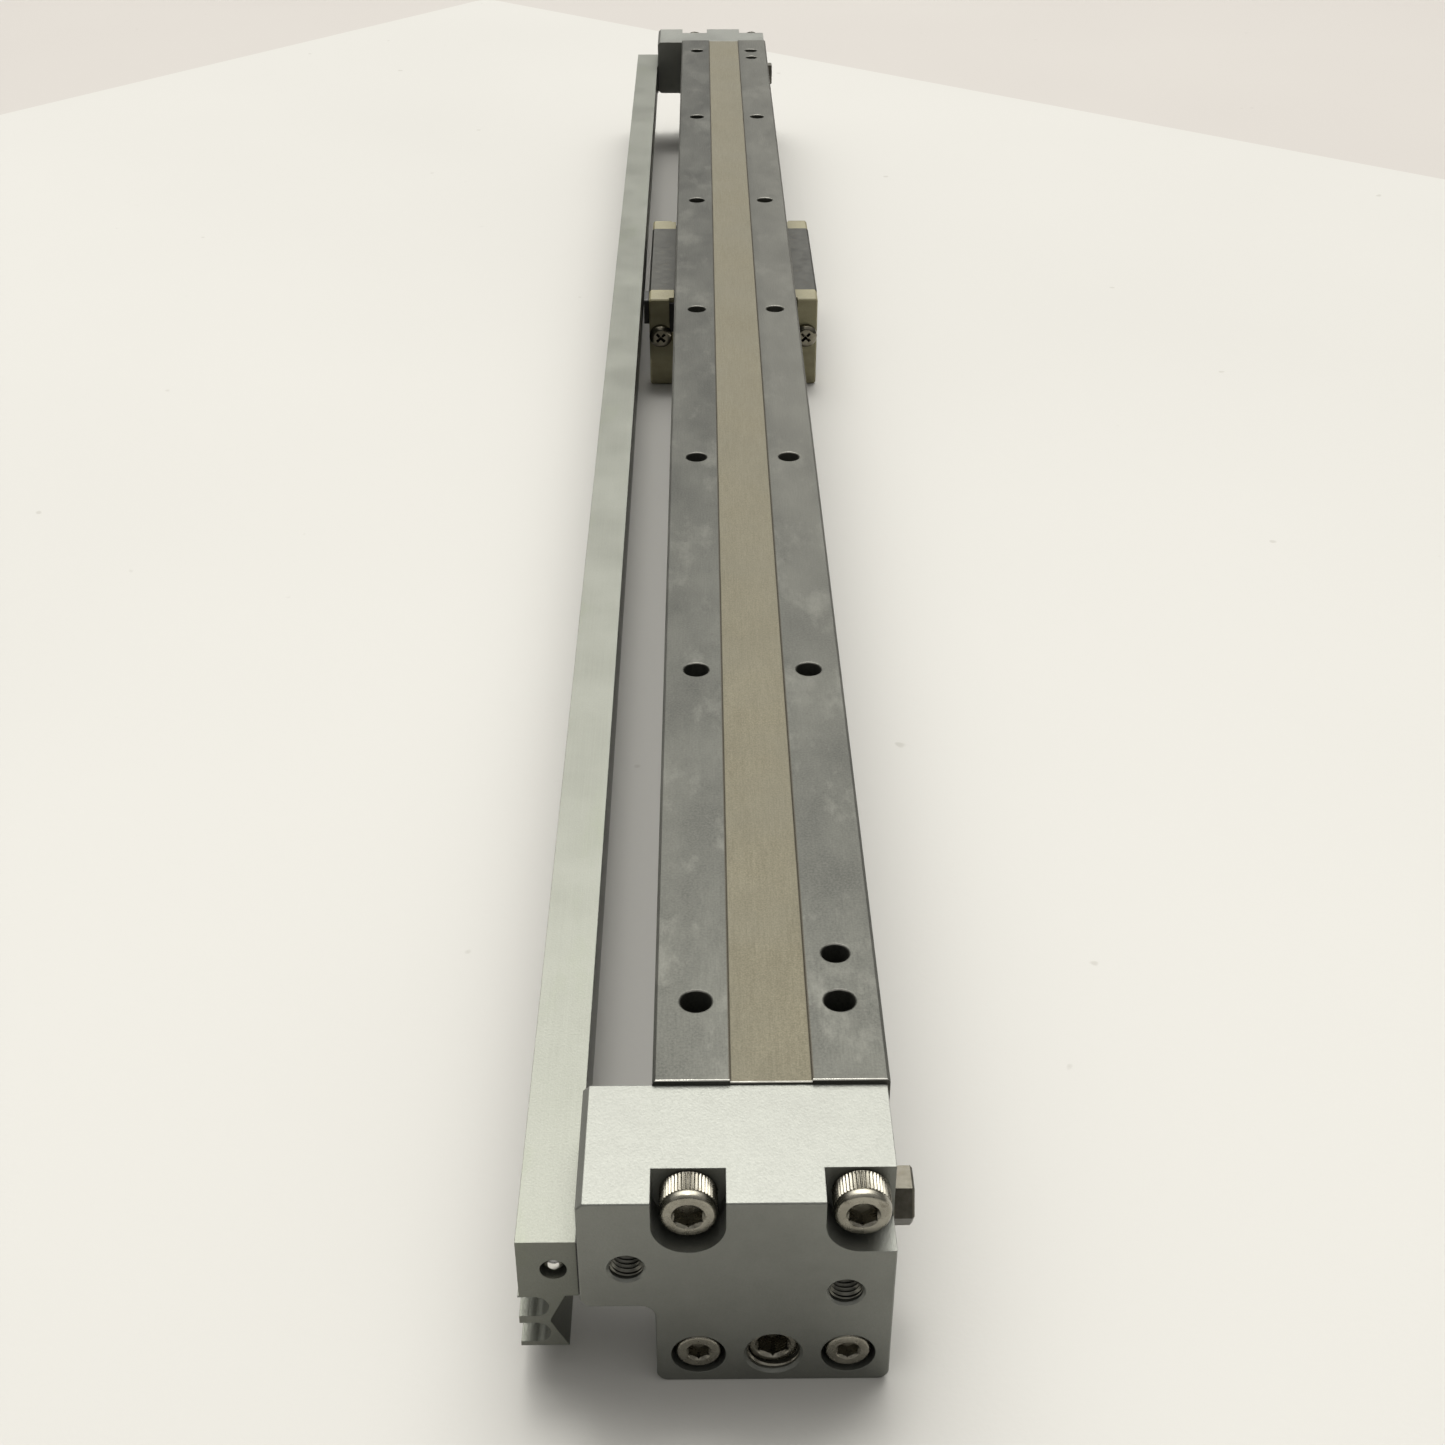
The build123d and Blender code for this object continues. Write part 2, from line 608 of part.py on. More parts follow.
def make_end_plates():
    front = Plane.XZ.offset(-CARRIAGE_NEAR)
    section = saddle_section(
        CARRIAGE_HALF_WIDTH - PLATE_INSET,
        LEG_INNER + PLATE_INSET,
        SADDLE_Z - PLATE_INSET,
        TABLE_Z + PLATE_INSET,
        CARRIAGE_EDGE,
    )
    turn_x = (TRACK_X + RETURN_X) / 2
    turn_r = (RETURN_X - TRACK_X) / 2
    wiper_outer = LEG_INNER + PLATE_INSET + WIPER_BAND
    with BuildPart() as plate:
        extrude(section.moved(Location((0, CARRIAGE_NEAR, 0))), amount=-END_PLATE)
        chamfer(plate.faces().sort_by(Axis.Y)[0].outer_wire().edges(), PLATE_FRONT_EDGE)
        with Locations((-turn_x, BODY_NEAR, TRACK_Z), (turn_x, BODY_NEAR, TRACK_Z)):
            Torus(turn_r, TRACK_R, mode=Mode.SUBTRACT)
        drill(front, [(0, TUBE_Z)], OUTER_MAGNET_BORE_R, END_PLATE)
        drill(front, PLATE_SCREWS, M4_R + 2 * THREAD_GAP, END_PLATE)
        with BuildSketch(front):
            with Locations((0, (CARRIAGE_TOP + SADDLE_Z - PLATE_INSET - WIPER_BAND) / 2)):
                Rectangle(2 * wiper_outer, CARRIAGE_TOP - SADDLE_Z + PLATE_INSET + WIPER_BAND)
        extrude(amount=-WIPER_THICKNESS - WIPER_SUNK, mode=Mode.SUBTRACT)
    write_pair(plate, "end_plate", CARRIAGE_MIDDLE)

    # The wiper lies in the recess and follows the rail's two sides and its underside
    lip_x = RAIL_WIDTH / 2 + WIPER_GAP
    lip_z = -RAIL_HEIGHT - WIPER_GAP
    outer_x = wiper_outer - THREAD_GAP
    outer_z = SADDLE_Z - PLATE_INSET - WIPER_BAND + THREAD_GAP
    with BuildPart() as wiper:
        with BuildSketch(front.offset(-WIPER_SUNK)):
            with BuildLine():
                Polyline(
                    (-outer_x, CARRIAGE_TOP - WIPER_BAND),
                    (-lip_x, CARRIAGE_TOP - WIPER_BAND),
                    (-lip_x, lip_z),
                    (lip_x, lip_z),
                    (lip_x, CARRIAGE_TOP - WIPER_BAND),
                    (outer_x, CARRIAGE_TOP - WIPER_BAND),
                    (outer_x, outer_z),
                    (-outer_x, outer_z),
                    close=True,
                )
            make_face()
        extrude(amount=-WIPER_THICKNESS)
    write_pair(wiper, "wiper", CARRIAGE_MIDDLE)

    # Pan-head screws with a cross recess
    with BuildPart() as screws:
        with BuildSketch(front):
            with Locations(*PLATE_SCREWS):
                Circle(PLATE_SCREW_HEAD_R)
        extrude(amount=PLATE_SCREW_HEAD)
        rims = screws.edges().group_by(Axis(front.origin, front.z_dir))[-1]
        fillet(rims, PLATE_HEAD_ROUND)
        with BuildSketch(front.offset(PLATE_SCREW_HEAD)):
            with Locations(*PLATE_SCREWS):
                Rectangle(CROSS_LENGTH, CROSS_WIDTH, rotation=CROSS_TURN)
                Rectangle(CROSS_WIDTH, CROSS_LENGTH, rotation=CROSS_TURN)
        extrude(amount=-CROSS_DEPTH, taper=CROSS_TAPER, mode=Mode.SUBTRACT)
        with BuildSketch(front):
            with Locations(*PLATE_SCREWS):
                Circle(M4_R - THREAD_GAP)
        extrude(amount=-PLATE_SCREW_LENGTH)
    write_pair(screws, "end_plate_screws", CARRIAGE_MIDDLE)


def track_spot(side, travelled):
    """A point on the closed ball track at a distance along it from its near, rail-side end."""
    turn_r = (RETURN_X - TRACK_X) / 2
    turn = pi * turn_r
    if travelled < BODY_LENGTH:
        x, y = TRACK_X, BODY_NEAR + travelled
    elif travelled < BODY_LENGTH + turn:
        angle = (travelled - BODY_LENGTH) / turn_r
        x = TRACK_X + turn_r * (1 - cos(angle))
        y = BODY_NEAR + BODY_LENGTH + turn_r * sin(angle)
    elif travelled < 2 * BODY_LENGTH + turn:
        x, y = RETURN_X, BODY_NEAR + 2 * BODY_LENGTH + turn - travelled
    else:
        angle = (travelled - 2 * BODY_LENGTH - turn) / turn_r
        x = RETURN_X - turn_r * (1 - cos(angle))
        y = BODY_NEAR - turn_r * sin(angle)
    return (side * x, y, TRACK_Z)


def make_balls():
    lap = 2 * BODY_LENGTH + pi * (RETURN_X - TRACK_X)
    for side, name in ((-1, "balls_left"), (1, "balls_right")):
        spots = [track_spot(side, number * lap / BALL_COUNT) for number in range(BALL_COUNT)]
        with BuildPart() as balls:
            with Locations(*spots):
                Sphere(BALL_R)
        write(balls, name)


def make_magnet_holder():
    middle = (sum(HOLDER_Y) / 2, sum(HOLDER_Z) / 2)
    carriage_side = Plane.ZY.offset(CARRIAGE_HALF_WIDTH)
    with BuildPart() as holder:
        with BuildSketch(carriage_side):
            with Locations(swapped([middle])[0]):
                RectangleRounded(
                    HOLDER_Z[1] - HOLDER_Z[0],
                    HOLDER_Y[1] - HOLDER_Y[0],
                    MAGNET_HOLDER_CORNER,
                )
        extrude(amount=MAGNET_HOLDER_THICKNESS)
        with BuildSketch(carriage_side):
            with Locations(swapped([middle])[0]):
                Circle(SWITCH_MAGNET_R)
        extrude(amount=SWITCH_MAGNET_THICKNESS, mode=Mode.SUBTRACT)
    write(holder, "magnet_holder")
    with BuildPart() as magnet:
        with BuildSketch(carriage_side):
            with Locations(swapped([middle])[0]):
                Circle(SWITCH_MAGNET_R - THREAD_GAP)
        extrude(amount=SWITCH_MAGNET_THICKNESS - THREAD_GAP)
    write(magnet, "switch_magnet")


# ---------------------------------------------------------------- magnet stacks and piston


def stack_positions():
    """Where each yoke and each magnet of a stack begins along the rail."""
    start = CARRIAGE_Y - STACK_LENGTH / 2
    step = YOKE_LENGTH + MAGNET_LENGTH
    yokes = [start + number * step for number in range(MAGNET_COUNT + 1)]
    magnets = [yoke + YOKE_LENGTH for yoke in yokes[:-1]]
    return yokes, magnets


def rings(name, starts, outer, inner, length):
    """Write a row of equal rings on the cylinder's axis as one sub-part."""
    with BuildPart() as row:
        for start in starts:
            with BuildSketch(Plane.XZ.offset(-start)):
                with Locations((0, TUBE_Z)):
                    Circle(outer)
                    Circle(inner, mode=Mode.SUBTRACT)
        extrude(amount=-length)
    write(row, name)


def make_outer_slider():
    yokes, magnets = stack_positions()
    first, last = yokes[0], yokes[-1] + YOKE_LENGTH
    rings("outer_magnets", magnets, OUTER_MAGNET_R, OUTER_MAGNET_BORE_R, MAGNET_LENGTH)
    rings("outer_yokes", yokes, OUTER_MAGNET_R, OUTER_MAGNET_BORE_R, YOKE_LENGTH)
    wear = [first - WEAR_RING_LENGTH, last]
    wear_bore_r = TUBE_R + THREAD_GAP
    rings("slider_wear_rings", wear, OUTER_MAGNET_R, wear_bore_r, WEAR_RING_LENGTH)
    retainers = [wear[0] - RETAINER_LENGTH, last + WEAR_RING_LENGTH]
    rings("slider_retainers", retainers, OUTER_MAGNET_R, OUTER_MAGNET_BORE_R, RETAINER_LENGTH)


def make_piston():
    yokes, magnets = stack_positions()
    first, last = yokes[0], yokes[-1] + YOKE_LENGTH
    rings("inner_magnets", magnets, INNER_MAGNET_R, SHAFT_R, MAGNET_LENGTH)
    rings("inner_yokes", yokes, INNER_YOKE_R, SHAFT_R, YOKE_LENGTH)
    with BuildPart() as shaft:
        with BuildSketch(CARRIAGE_MIDDLE):
            with Locations((0, TUBE_Z)):
                Circle(SHAFT_R)
        extrude(amount=STACK_LENGTH / 2 + PISTON_LENGTH, both=True)
    write(shaft, "piston_shaft")

    # Each piston has a groove for its seal, next to its outer end, and one for its wear ring
    outer_end = first - PISTON_LENGTH
    seal_start = outer_end + PISTON_LAND
    wear_start = seal_start + SEAL_GROOVE_WIDTH + PISTON_LAND
    with BuildPart() as piston:
        with BuildSketch(Plane.XZ.offset(-outer_end)):
            with Locations((0, TUBE_Z)):
                Circle(PISTON_R)
                Circle(SHAFT_R, mode=Mode.SUBTRACT)
        extrude(amount=-PISTON_LENGTH)
        grooves = ((seal_start, SEAL_GROOVE_WIDTH), (wear_start, PISTON_RING_WIDTH))
        for groove_start, width in grooves:
            with BuildSketch(Plane.XZ.offset(-groove_start)):
                with Locations((0, TUBE_Z)):
                    Circle(TUBE_BORE_R)
                    Circle(PISTON_GROOVE_R, mode=Mode.SUBTRACT)
            extrude(amount=-width, mode=Mode.SUBTRACT)
    write_pair(piston, "piston", CARRIAGE_MIDDLE)

    seal_y = seal_start + SEAL_GROOVE_WIDTH / 2
    seal_spots = [(0, seal_y, TUBE_Z), (0, first + last - seal_y, TUBE_Z)]
    with BuildPart() as seals:
        with Locations(*seal_spots):
            Torus(PISTON_GROOVE_R + SEAL_WIRE_R, SEAL_WIRE_R, rotation=ALONG_RAIL)
    write(seals, "piston_seals")
    wear = [wear_start, first + last - wear_start - PISTON_RING_WIDTH]
    rings("piston_wear_rings", wear, PISTON_RING_R, PISTON_GROOVE_R, PISTON_RING_WIDTH)


os.makedirs("parts", exist_ok=True)
make_rail()
make_end_blocks()
make_block_fittings()
make_cylinder()
make_switch_rail()
make_carriage_body()
make_end_plates()
make_balls()
make_magnet_holder()
make_outer_slider()
make_piston()
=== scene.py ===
import math

import bmesh
import bpy
from mathutils import Matrix, Vector


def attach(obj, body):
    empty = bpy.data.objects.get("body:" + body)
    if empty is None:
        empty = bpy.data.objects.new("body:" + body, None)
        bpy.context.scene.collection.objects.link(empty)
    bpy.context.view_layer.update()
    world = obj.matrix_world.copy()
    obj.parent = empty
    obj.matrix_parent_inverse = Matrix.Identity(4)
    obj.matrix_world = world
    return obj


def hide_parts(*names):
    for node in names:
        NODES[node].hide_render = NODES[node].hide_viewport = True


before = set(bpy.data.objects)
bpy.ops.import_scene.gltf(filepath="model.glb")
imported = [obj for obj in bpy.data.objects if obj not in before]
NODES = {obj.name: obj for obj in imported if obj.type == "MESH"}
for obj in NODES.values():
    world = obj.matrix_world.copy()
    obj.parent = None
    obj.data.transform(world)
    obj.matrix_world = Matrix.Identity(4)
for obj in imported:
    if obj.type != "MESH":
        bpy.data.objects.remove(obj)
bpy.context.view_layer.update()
MM = 0.001

# ------------------------------------------------------------------ sizes, in millimetres

RAIL_LAND_INNER = 6.25       # half the width of the relief between the rail's two lands
RELIEF_LEVEL = -0.6          # the relief's floor lies above this height
CORNER_SHADE_LINE = (0.12, 0.3)      # the painted shade in the relief's corners fades out over this distance
RAIL_HIGHLIGHT_FROM = 316.0       # the painted highlight on the end edges lies past this distance from the middle
HIGHLIGHT_LEVEL = -0.72           # how far down the rail's top edges the painted highlight reaches
BLOCK_FACE = 341.43          # outer face of each end block, from the middle of the rail
TUBE_Z = -33.2               # height of the cylinder tube's axis

# Cap screws: thread size, head radius, socket across flats, shank length
M5_SCREW = (5.0, 4.25, 4.0, 25.0)
M4_SCREW = (4.0, 3.5, 3.0, 18.0)
RAIL_SCREW_SPOTS = ((-12.5, -5.5), (12.5, -5.5))
RAIL_SCREW_SEAT = 334.63
TUBE_SCREW_SPOTS = ((-11.2, TUBE_Z), (11.2, TUBE_Z))
TUBE_SCREW_SEAT = 337.03
THREAD_GAP = 0.05            # between a cap screw's shank and its hole

PORT_SPOTS = ((-21.54, -14.25), (10.42, -19.7))
PORT_SHADE_R = 2.95         # painted shade darkens the block's faces inside this radius
TUBE_SHADE_R = 4.6
SHADE_DEPTH = 12.0
SHADE_FADE = (0.0002, 0.0012)   # the painted shade fades in over this depth, in metres

PLUG_R = 4.0
PLUG_SUNK = 1.5
PLUG_LENGTH = 6.5
PLUG_SOCKET = 4.4            # hexagon across flats
PLUG_SOCKET_DEPTH = 3.6

TABLE_FACE = -42.0           # the carriage's table, and its middle in the pose at rest
TABLE_MIDDLE = 81.2
TABLE_HOLES = ((-17.0, -20.0), (17.0, -20.0), (-17.0, 20.0), (17.0, 20.0))

# Thread ridges: radius at the foot, radius at the crest, pitch, length
PORT_THREAD = (2.52, 2.12, 0.8, 7.4)
PLUG_HOLE_THREAD = (PLUG_R + 0.02, PLUG_R - 0.42, 1.25, 2.4)
TABLE_THREAD = (2.02, 1.68, 0.7, 5.6)
PORT_THREAD_SUNK = 0.7       # where each thread starts, below the face its hole opens in
PLUG_THREAD_SUNK = 0.55
TABLE_THREAD_SUNK = 0.5
RIDGE_FOOT = 0.46            # half widths of a ridge, in pitches
RIDGE_CREST = 0.06
TURN_STEPS = 40              # steps in one turn of a thread

RING_STEPS = 192             # vertices in each ring of a turned piece
KNURL_STEPS = 4              # ring steps in one tooth of a knurl
SHARP_ANGLE = math.radians(32)

# ------------------------------------------------------------------ material graphs


class Graph:
    """One material's node graph, in metres of the row frame."""

    def __init__(self, name, metallic=0.0, roughness=0.5, specular=0.5):
        self.material = bpy.data.materials.new(name)
        self.material.use_nodes = True
        self.tree = self.material.node_tree
        self.shader = self.tree.nodes["Principled BSDF"]
        self.shader.inputs["Metallic"].default_value = metallic
        self.shader.inputs["Roughness"].default_value = roughness
        self.shader.inputs["Specular IOR Level"].default_value = specular
        self.place = self.add("ShaderNodeTexCoord").outputs["Object"]

    def add(self, kind, **settings):
        node = self.tree.nodes.new(kind)
        for key, value in settings.items():
            setattr(node, key, value)
        return node

    def put(self, value, socket):
        """Link an output to a socket, or set the socket to a constant."""
        if isinstance(value, bpy.types.NodeSocket):
            self.tree.links.new(value, socket)
        else:
            socket.default_value = value

    def axes(self):
        split = self.add("ShaderNodeSeparateXYZ")
        self.put(self.place, split.inputs[0])
        return split.outputs

    def math(self, operation, *values):
        node = self.add("ShaderNodeMath", operation=operation)
        for socket, value in zip(node.inputs, values):
            self.put(value, socket)
        return node.outputs[0]

    def length(self, first, second):
        """Length of the vector with these two components."""
        squares = [self.math("POWER", value, 2.0) for value in (first, second)]
        return self.math("SQRT", self.math("ADD", *squares))

    def noise(self, scale, detail=3.0, roughness=0.5, stretch=(1, 1, 1), offset=0.0):
        """Noise in cells per metre; stretch scales each axis."""
        mapping = self.add("ShaderNodeMapping")
        self.put(self.place, mapping.inputs["Vector"])
        mapping.inputs["Scale"].default_value = stretch
        mapping.inputs["Location"].default_value = (offset, offset, offset)
        node = self.add("ShaderNodeTexNoise")
        self.put(mapping.outputs[0], node.inputs["Vector"])
        node.inputs["Scale"].default_value = scale
        node.inputs["Detail"].default_value = detail
        node.inputs["Roughness"].default_value = roughness
        return node.outputs["Fac"]

    def span(self, value, low, high, out_low=0.0, out_high=1.0):
        """Map low..high to out_low..out_high, clamped."""
        node = self.add("ShaderNodeMapRange", clamp=True)
        for socket, number in zip(node.inputs, (value, low, high, out_low, out_high)):
            self.put(number, socket)
        return node.outputs[0]

    def mix(self, factor, first, second, blend="MIX"):
        node = self.add("ShaderNodeMix", data_type="RGBA", blend_type=blend)
        self.put(factor, node.inputs["Factor"])
        for value, socket in ((first, node.inputs[6]), (second, node.inputs[7])):
            self.put(value if isinstance(value, bpy.types.NodeSocket) else (*value, 1.0), socket)
        return node.outputs[2]

    def bump(self, height, depth, edge=0.0, strength=1.0):
        """A bump of the given depth, over edges rounded by the given radius, in metres."""
        node = self.add("ShaderNodeBump")
        self.put(height, node.inputs["Height"])
        node.inputs["Distance"].default_value = depth
        node.inputs["Strength"].default_value = strength
        if edge:
            rounded = self.add("ShaderNodeBevel", samples=4)
            rounded.inputs["Radius"].default_value = edge
            self.put(rounded.outputs[0], node.inputs["Normal"])
        self.put(node.outputs[0], self.shader.inputs["Normal"])

    def finish(self, colour, roughness=None):
        self.put(colour, self.shader.inputs["Base Color"])
        if roughness is not None:
            self.put(roughness, self.shader.inputs["Roughness"])
        return self.material


def bore_shade_mask(g, spots, radius, depth):
    """1 inside bores that run into either end block from its outer face, where shade is painted."""
    x, y, z = g.axes()
    inside = 0.0
    for spot_x, spot_z in spots:
        across = g.math("SUBTRACT", x, spot_x * MM)
        up = g.math("SUBTRACT", z, spot_z * MM)
        reach = g.length(across, up)
        inside = g.math("MAXIMUM", inside, g.math("LESS_THAN", reach, radius * MM))
    sunk = g.math("SUBTRACT", BLOCK_FACE * MM, g.math("ABSOLUTE", y))
    inside = g.math("MULTIPLY", inside, g.math("LESS_THAN", sunk, depth * MM))
    return g.math("MULTIPLY", inside, g.span(sunk, *SHADE_FADE))


def rail_steel(g, x, y, lines, clouds):
    """Ground steel: cloudy, scratched lengthwise, wiped in places, lighter on the right land from
    the middle to the far end.
    """
    wiped = g.span(g.noise(75, 5, 0.7, stretch=(1.3, 0.6, 1), offset=3.0), 0.53, 0.70)
    speckle = g.noise(2300, 2, 0.6, offset=1.0)
    spots = g.span(g.noise(330, 2, 0.5, offset=7.0), 0.70, 0.78)
    right_land_lighter = g.math("MULTIPLY", g.span(x, 0.004, 0.009), g.span(y, -0.25, -0.05))
    steel = g.mix(g.span(clouds, 0.35, 0.65), (0.042, 0.043, 0.037), (0.088, 0.089, 0.077))
    steel = g.mix(g.span(lines, 0.3, 0.7, 0.0, 0.2), steel, (0.052, 0.052, 0.045))
    steel = g.mix(g.span(speckle, 0.35, 0.65, 0.0, 0.3), steel, (0.13, 0.13, 0.112))
    steel = g.mix(g.math("MULTIPLY", wiped, 0.5), steel, (0.171, 0.17, 0.149))
    # Lighter on the right land, fading in over the near half towards the middle
    steel = g.mix(g.math("MULTIPLY", right_land_lighter, 0.45), steel, (0.155, 0.153, 0.132))
    return g.mix(g.math("MULTIPLY", spots, 0.6), steel, (0.06, 0.057, 0.05))


def rail_tan(g, grain):
    """The tan, fine-grained face of the relief."""
    blotch = g.noise(35, 4, 0.6, offset=11.0)
    tan = g.mix(g.span(grain, 0.3, 0.7), (0.124, 0.113, 0.078), (0.189, 0.173, 0.123))
    return g.mix(g.span(blotch, 0.35, 0.7, 0.0, 0.5), tan, (0.15, 0.143, 0.111))


def rail_corner_shade(g, x, upper, grain):
    """How much painted shade darkens the corners between the relief and the lands."""
    from_middle = g.math("ABSOLUTE", x)
    corner_gap = g.math("ABSOLUTE", g.math("SUBTRACT", from_middle, RAIL_LAND_INNER * MM))
    line = g.span(corner_gap, CORNER_SHADE_LINE[0] * MM, CORNER_SHADE_LINE[1] * MM, 1.0, 0.0)
    corner_shade = g.math("ADD", line, g.span(grain, 0.3, 0.7, -0.3, 0.1))
    return g.math("MULTIPLY", g.span(corner_shade, 0.1, 0.8, 0.0, 0.85), upper)


def rail_edge_highlight(g, y, z, clouds):
    """How bright the painted highlight is on the rounded top edges: at the rail's ends, and less on
    the lips of its holes that face the near end."""
    facing = g.add("ShaderNodeSeparateXYZ")
    g.put(g.add("ShaderNodeNewGeometry").outputs["Normal"], facing.inputs[0])
    face_x, face_y, face_z = facing.outputs
    past_side = g.span(face_z, 0.35, 0.5)
    below_top = g.span(face_z, 0.97, 0.995, 1.0, 0.0)
    tilt = g.math("MULTIPLY", past_side, below_top)
    along = g.span(g.math("ABSOLUTE", face_x), 0.35, 0.55, 1.0, 0.0)
    painted_highlight = g.math("MULTIPLY", tilt, along)
    painted_highlight = g.math("MULTIPLY", painted_highlight, g.math("GREATER_THAN", z, HIGHLIGHT_LEVEL * MM))
    at_end = g.math("GREATER_THAN", g.math("ABSOLUTE", y), RAIL_HIGHLIGHT_FROM * MM)
    mouths = g.span(face_y, -0.7, -0.2, 0.45, 0.0)
    painted_highlight = g.math("MULTIPLY", painted_highlight, g.math("MAXIMUM", at_end, mouths))
    return g.math("MULTIPLY", painted_highlight, g.span(clouds, 0.4, 0.6, 0.95, 0.6))


def ground_rail():
    """Ground steel lands with a tan relief between them, painted shade in the corners and a painted
    highlight on the rounded top edges.
    """
    g = Graph("ground_rail", metallic=0.55, specular=0.3)
    x, y, z = g.axes()
    inside = g.math("LESS_THAN", g.math("ABSOLUTE", x), RAIL_LAND_INNER * MM)
    upper = g.math("GREATER_THAN", z, RELIEF_LEVEL * MM)
    relief = g.math("MULTIPLY", inside, upper)
    lines = g.noise(260, 4, 0.65, stretch=(14, 0.6, 14))
    clouds = g.noise(60, 5, 0.62, stretch=(1.2, 0.6, 1))
    grain = g.noise(3200, 3, 0.6)
    painted_highlight = rail_edge_highlight(g, y, z, clouds)
    colour = g.mix(relief, rail_steel(g, x, y, lines, clouds), rail_tan(g, grain))
    # Painted shade: a dark brown line in the corners between the relief and the lands
    colour = g.mix(rail_corner_shade(g, x, upper, grain), colour, (0.04, 0.034, 0.022))
    # Painted highlight: the rounded top edges turn near white
    colour = g.mix(painted_highlight, colour, (0.80, 0.785, 0.72))
    uneven = g.math("ADD", lines, g.math("MULTIPLY", clouds, 0.6))
    rough = g.span(uneven, 0.5, 1.1, 0.30, 0.48)
    rough = g.math("ADD", rough, g.math("MULTIPLY", relief, 0.22))
    rough = g.math("SUBTRACT", rough, g.math("MULTIPLY", painted_highlight, 0.15))
    height = g.math("ADD", g.math("MULTIPLY", lines, 0.5), g.math("MULTIPLY", grain, relief))
    g.bump(height, 0.00006, edge=0.00012)
    return g.finish(colour, rough)


def anodised(name, dark, light, line_stretch=(1, 1, 1), smudge=None, bores=()):
    """Clear anodised aluminium: matt, fine-grained, with faint streaks.

    line_stretch stretches the streaks. Each bore is (spots, radius, depth, colour of the painted
    shade)."""
    g = Graph(name, metallic=0.85)
    grain = g.noise(2600, 3, 0.6)
    patch = g.noise(55, 4, 0.6)
    streak = g.noise(300, 3, 0.6, stretch=line_stretch, offset=5.0)
    colour = g.mix(g.span(patch, 0.3, 0.7), dark, light)
    colour = g.mix(g.span(grain, 0.25, 0.75, 0.0, 0.25), colour, dark)
    colour = g.mix(g.span(streak, 0.35, 0.7, 0.0, 0.3), colour, light)
    if smudge:
        stain = g.span(g.noise(85, 4, 0.65, stretch=(1, 0.4, 1), offset=9.0), 0.55, 0.68)
        colour = g.mix(g.math("MULTIPLY", stain, 0.35), colour, smudge)
    # Painted shade inside the bores; dirt here is the colour of that painted shade
    for spots, radius, depth, dirt in bores:
        bore_shade = bore_shade_mask(g, spots, radius, depth)
        colour = g.mix(g.math("MULTIPLY", bore_shade, 0.9), colour, dirt)
    rough = g.span(g.math("ADD", grain, patch), 0.6, 1.4, 0.36, 0.50)
    height = g.math("ADD", grain, g.math("MULTIPLY", streak, 0.4))
    g.bump(height, 0.00004, edge=0.00018)
    return g.finish(colour, rough)


def plated(name, dark, light, roughness):
    """Plated or polished metal with handling marks and a little dirt."""
    g = Graph(name, metallic=1.0)
    haze = g.noise(420, 4, 0.6)
    marks = g.noise(900, 3, 0.7, stretch=(1, 5, 1), offset=4.0)
    dirt = g.span(g.noise(620, 3, 0.6, offset=8.0), 0.60, 0.72)
    colour = g.mix(g.span(haze, 0.3, 0.7), dark, light)
    colour = g.mix(g.math("MULTIPLY", dirt, 0.5), colour, (0.10, 0.085, 0.06))
    rough = g.span(g.math("ADD", haze, marks), 0.7, 1.3, *roughness)
    g.bump(marks, 0.00002, edge=0.00006)
    return g.finish(colour, rough)


def moulded(name, dark, light, roughness=(0.45, 0.62)):
    """Moulded resin or rubber with a fine pitted grain and flow marks."""
    g = Graph(name)
    grain = g.noise(1800, 3, 0.6)
    flow = g.noise(120, 4, 0.6, stretch=(1, 1, 2.5))
    colour = g.mix(g.span(flow, 0.3, 0.7), dark, light)
    colour = g.mix(g.span(grain, 0.35, 0.8, 0.0, 0.35), colour, dark)
    rough = g.span(g.math("ADD", grain, flow), 0.7, 1.3, *roughness)
    g.bump(grain, 0.00005, edge=0.0002)
    return g.finish(colour, rough)


def painted_socket_shade():
    """Dark brown painted shade for the hexagon sockets and the groove between a screw's knurl and
    its rim.
    """
    g = Graph("painted_socket_shade", metallic=0.5)
    crumbs = g.noise(2400, 4, 0.7)
    film = g.noise(700, 3, 0.6, offset=2.0)
    colour = g.mix(g.span(crumbs, 0.35, 0.7), (0.022, 0.017, 0.010), (0.075, 0.06, 0.038))
    g.bump(crumbs, 0.00008)
    return g.finish(colour, g.span(film, 0.3, 0.7, 0.25, 0.6))


def paper(name, dark, light):
    """Matt, slightly uneven paper or laminate with a few specks."""
    g = Graph(name, specular=0.15)
    fibre = g.noise(900, 4, 0.6)
    wash = g.noise(2.2, 3, 0.5)
    speck = g.span(g.noise(140, 1, 0.5, offset=6.0), 0.80, 0.83)
    colour = g.mix(g.span(wash, 0.3, 0.7), dark, light)
    colour = g.mix(g.math("MULTIPLY", speck, 0.3), colour, (0.30, 0.28, 0.24))
    g.bump(fibre, 0.00003)
    return g.finish(colour, g.span(fibre, 0.2, 0.8, 0.85, 0.95))


